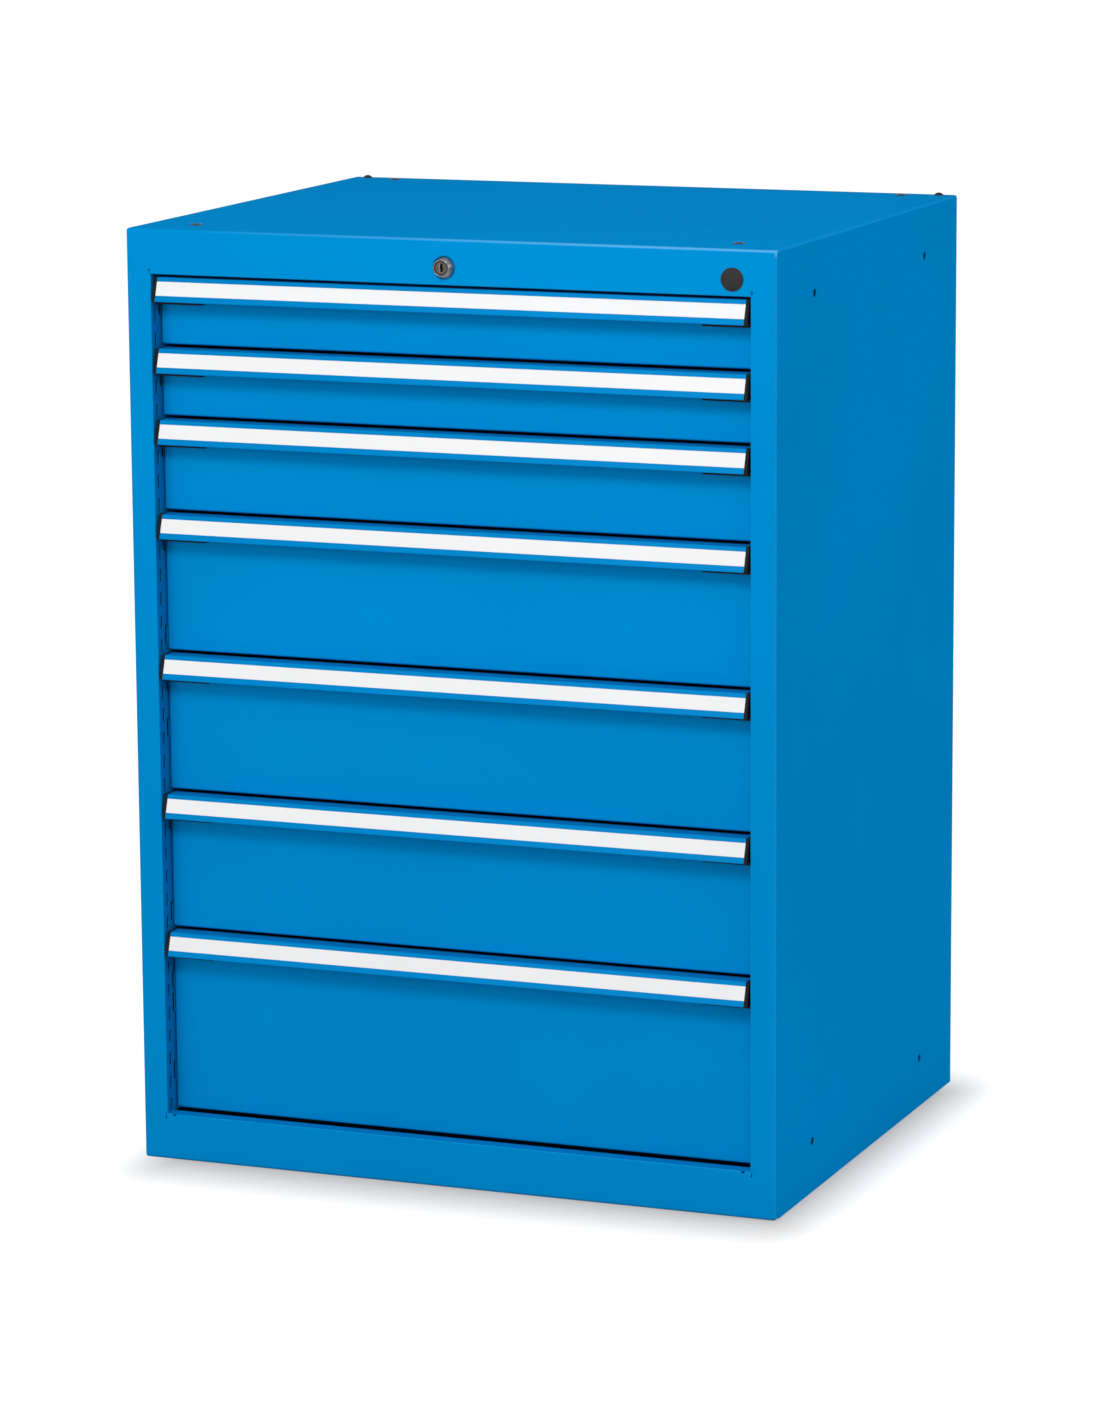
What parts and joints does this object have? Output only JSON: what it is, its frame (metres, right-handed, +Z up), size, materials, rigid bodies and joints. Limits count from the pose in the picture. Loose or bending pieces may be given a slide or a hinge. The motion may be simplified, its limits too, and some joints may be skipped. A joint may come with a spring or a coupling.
{
  "type": "multi-drawer cabinet",
  "caption": "Floor-standing sheet-steel drawer cabinet: stacked drawers of several heights on telescopic slides, sloping full-width label handles and a central lock.",
  "frame": {"origin": "on the floor, at the middle of the carcass's footprint", "axes": "+X to the right seen from the front, +Y to the back, +Z up; drawers open along -Y"},
  "size_m": [0.717, 0.608, 1.003],
  "materials": {
    "carcass_paint": "satin powder coat",
    "drawer_paint": "satin powder coat",
    "handle_paint": "satin powder coat",
    "tray_paint": "satin powder coat",
    "label_white": "matt film over a paper strip",
    "cap_plastic": "moulded, fine grain",
    "black_plastic": "moulded, fine grain",
    "zinc_steel": "zinc plated",
    "polished_lock": "polished, turned",
    "lock_core": "satin, turned",
    "insert_steel": "plated"
  },
  "bodies": {
    "cabinet": {"front_frame": "carcass_paint", "left_side_panel": "carcass_paint", "right_side_panel": "carcass_paint", "top_panel": "carcass_paint", "back_panel": "carcass_paint", "base_panel": "carcass_paint", "rear_uprights": "zinc_steel", "cabinet_rails": "zinc_steel", "lock_barrel": "polished_lock", "lock_nut": "zinc_steel", "hole_plug": "black_plastic", "top_inserts": "insert_steel", "rear_buffers": "black_plastic"},
    "lock_cylinder": {"lock_plug": "lock_core", "lock_cam": "zinc_steel"},
    "lock_bar": {"lock_bar": "zinc_steel"},
    "drawer_1": {"drawer_1_front": "drawer_paint", "drawer_1_tray": "tray_paint", "drawer_1_handle": "handle_paint", "drawer_1_label": "label_white", "drawer_1_end_caps": "cap_plastic"},
    "drawer_1_slides": {"drawer_1_mid_rails": "zinc_steel"},
    "drawer_2": {"drawer_2_front": "drawer_paint", "drawer_2_tray": "tray_paint", "drawer_2_handle": "handle_paint", "drawer_2_label": "label_white", "drawer_2_end_caps": "cap_plastic"},
    "drawer_2_slides": {"drawer_2_mid_rails": "zinc_steel"},
    "drawer_3": {"drawer_3_front": "drawer_paint", "drawer_3_tray": "tray_paint", "drawer_3_handle": "handle_paint", "drawer_3_label": "label_white", "drawer_3_end_caps": "cap_plastic"},
    "drawer_3_slides": {"drawer_3_mid_rails": "zinc_steel"},
    "drawer_4": {"drawer_4_front": "drawer_paint", "drawer_4_tray": "tray_paint", "drawer_4_handle": "handle_paint", "drawer_4_label": "label_white", "drawer_4_end_caps": "cap_plastic"},
    "drawer_4_slides": {"drawer_4_mid_rails": "zinc_steel"},
    "drawer_5": {"drawer_5_front": "drawer_paint", "drawer_5_tray": "tray_paint", "drawer_5_handle": "handle_paint", "drawer_5_label": "label_white", "drawer_5_end_caps": "cap_plastic"},
    "drawer_5_slides": {"drawer_5_mid_rails": "zinc_steel"},
    "drawer_6": {"drawer_6_front": "drawer_paint", "drawer_6_tray": "tray_paint", "drawer_6_handle": "handle_paint", "drawer_6_label": "label_white", "drawer_6_end_caps": "cap_plastic"},
    "drawer_6_slides": {"drawer_6_mid_rails": "zinc_steel"},
    "drawer_7": {"drawer_7_front": "drawer_paint", "drawer_7_tray": "tray_paint", "drawer_7_handle": "handle_paint", "drawer_7_label": "label_white", "drawer_7_end_caps": "cap_plastic"},
    "drawer_7_slides": {"drawer_7_mid_rails": "zinc_steel"}
  },
  "joints": [
    {"name": "lock_bar_slide", "type": "slide", "parent": "cabinet", "child": "lock_bar", "axis": [-1, 0, 0], "range_m": [0, 0.01]},
    {"name": "lock_turn", "type": "hinge", "parent": "cabinet", "child": "lock_cylinder", "pos_m": [0, -0.29, 0.971], "axis": [0, -1, 0], "range_deg": [0, 90.2]},
    {"name": "drawer_1_slide", "type": "slide", "parent": "cabinet", "child": "drawer_1", "axis": [0, -1, 0], "range_m": [0, 0.48]},
    {"name": "drawer_1_mid_slide", "type": "slide", "parent": "cabinet", "child": "drawer_1_slides", "axis": [0, -1, 0], "range_m": [0, 0.2401]},
    {"name": "drawer_2_slide", "type": "slide", "parent": "cabinet", "child": "drawer_2", "axis": [0, -1, 0], "range_m": [0, 0.48]},
    {"name": "drawer_2_mid_slide", "type": "slide", "parent": "cabinet", "child": "drawer_2_slides", "axis": [0, -1, 0], "range_m": [0, 0.2401]},
    {"name": "drawer_3_slide", "type": "slide", "parent": "cabinet", "child": "drawer_3", "axis": [0, -1, 0], "range_m": [0, 0.48]},
    {"name": "drawer_3_mid_slide", "type": "slide", "parent": "cabinet", "child": "drawer_3_slides", "axis": [0, -1, 0], "range_m": [0, 0.2401]},
    {"name": "drawer_4_slide", "type": "slide", "parent": "cabinet", "child": "drawer_4", "axis": [0, -1, 0], "range_m": [0, 0.48]},
    {"name": "drawer_4_mid_slide", "type": "slide", "parent": "cabinet", "child": "drawer_4_slides", "axis": [0, -1, 0], "range_m": [0, 0.2401]},
    {"name": "drawer_5_slide", "type": "slide", "parent": "cabinet", "child": "drawer_5", "axis": [0, -1, 0], "range_m": [0, 0.48]},
    {"name": "drawer_5_mid_slide", "type": "slide", "parent": "cabinet", "child": "drawer_5_slides", "axis": [0, -1, 0], "range_m": [0, 0.2401]},
    {"name": "drawer_6_slide", "type": "slide", "parent": "cabinet", "child": "drawer_6", "axis": [0, -1, 0], "range_m": [0, 0.48]},
    {"name": "drawer_6_mid_slide", "type": "slide", "parent": "cabinet", "child": "drawer_6_slides", "axis": [0, -1, 0], "range_m": [0, 0.2401]},
    {"name": "drawer_7_slide", "type": "slide", "parent": "cabinet", "child": "drawer_7", "axis": [0, -1, 0], "range_m": [0, 0.48]},
    {"name": "drawer_7_mid_slide", "type": "slide", "parent": "cabinet", "child": "drawer_7_slides", "axis": [0, -1, 0], "range_m": [0, 0.2401]}
  ],
  "couplings": [
    {"joint": "lock_turn", "follows": "lock_bar_slide", "rad_per_m": 157.08},
    {"joint": "drawer_1_mid_slide", "follows": "drawer_1_slide", "ratio": 0.5},
    {"joint": "drawer_2_mid_slide", "follows": "drawer_2_slide", "ratio": 0.5},
    {"joint": "drawer_3_mid_slide", "follows": "drawer_3_slide", "ratio": 0.5},
    {"joint": "drawer_4_mid_slide", "follows": "drawer_4_slide", "ratio": 0.5},
    {"joint": "drawer_5_mid_slide", "follows": "drawer_5_slide", "ratio": 0.5},
    {"joint": "drawer_6_mid_slide", "follows": "drawer_6_slide", "ratio": 0.5},
    {"joint": "drawer_7_mid_slide", "follows": "drawer_7_slide", "ratio": 0.5}
  ]
}
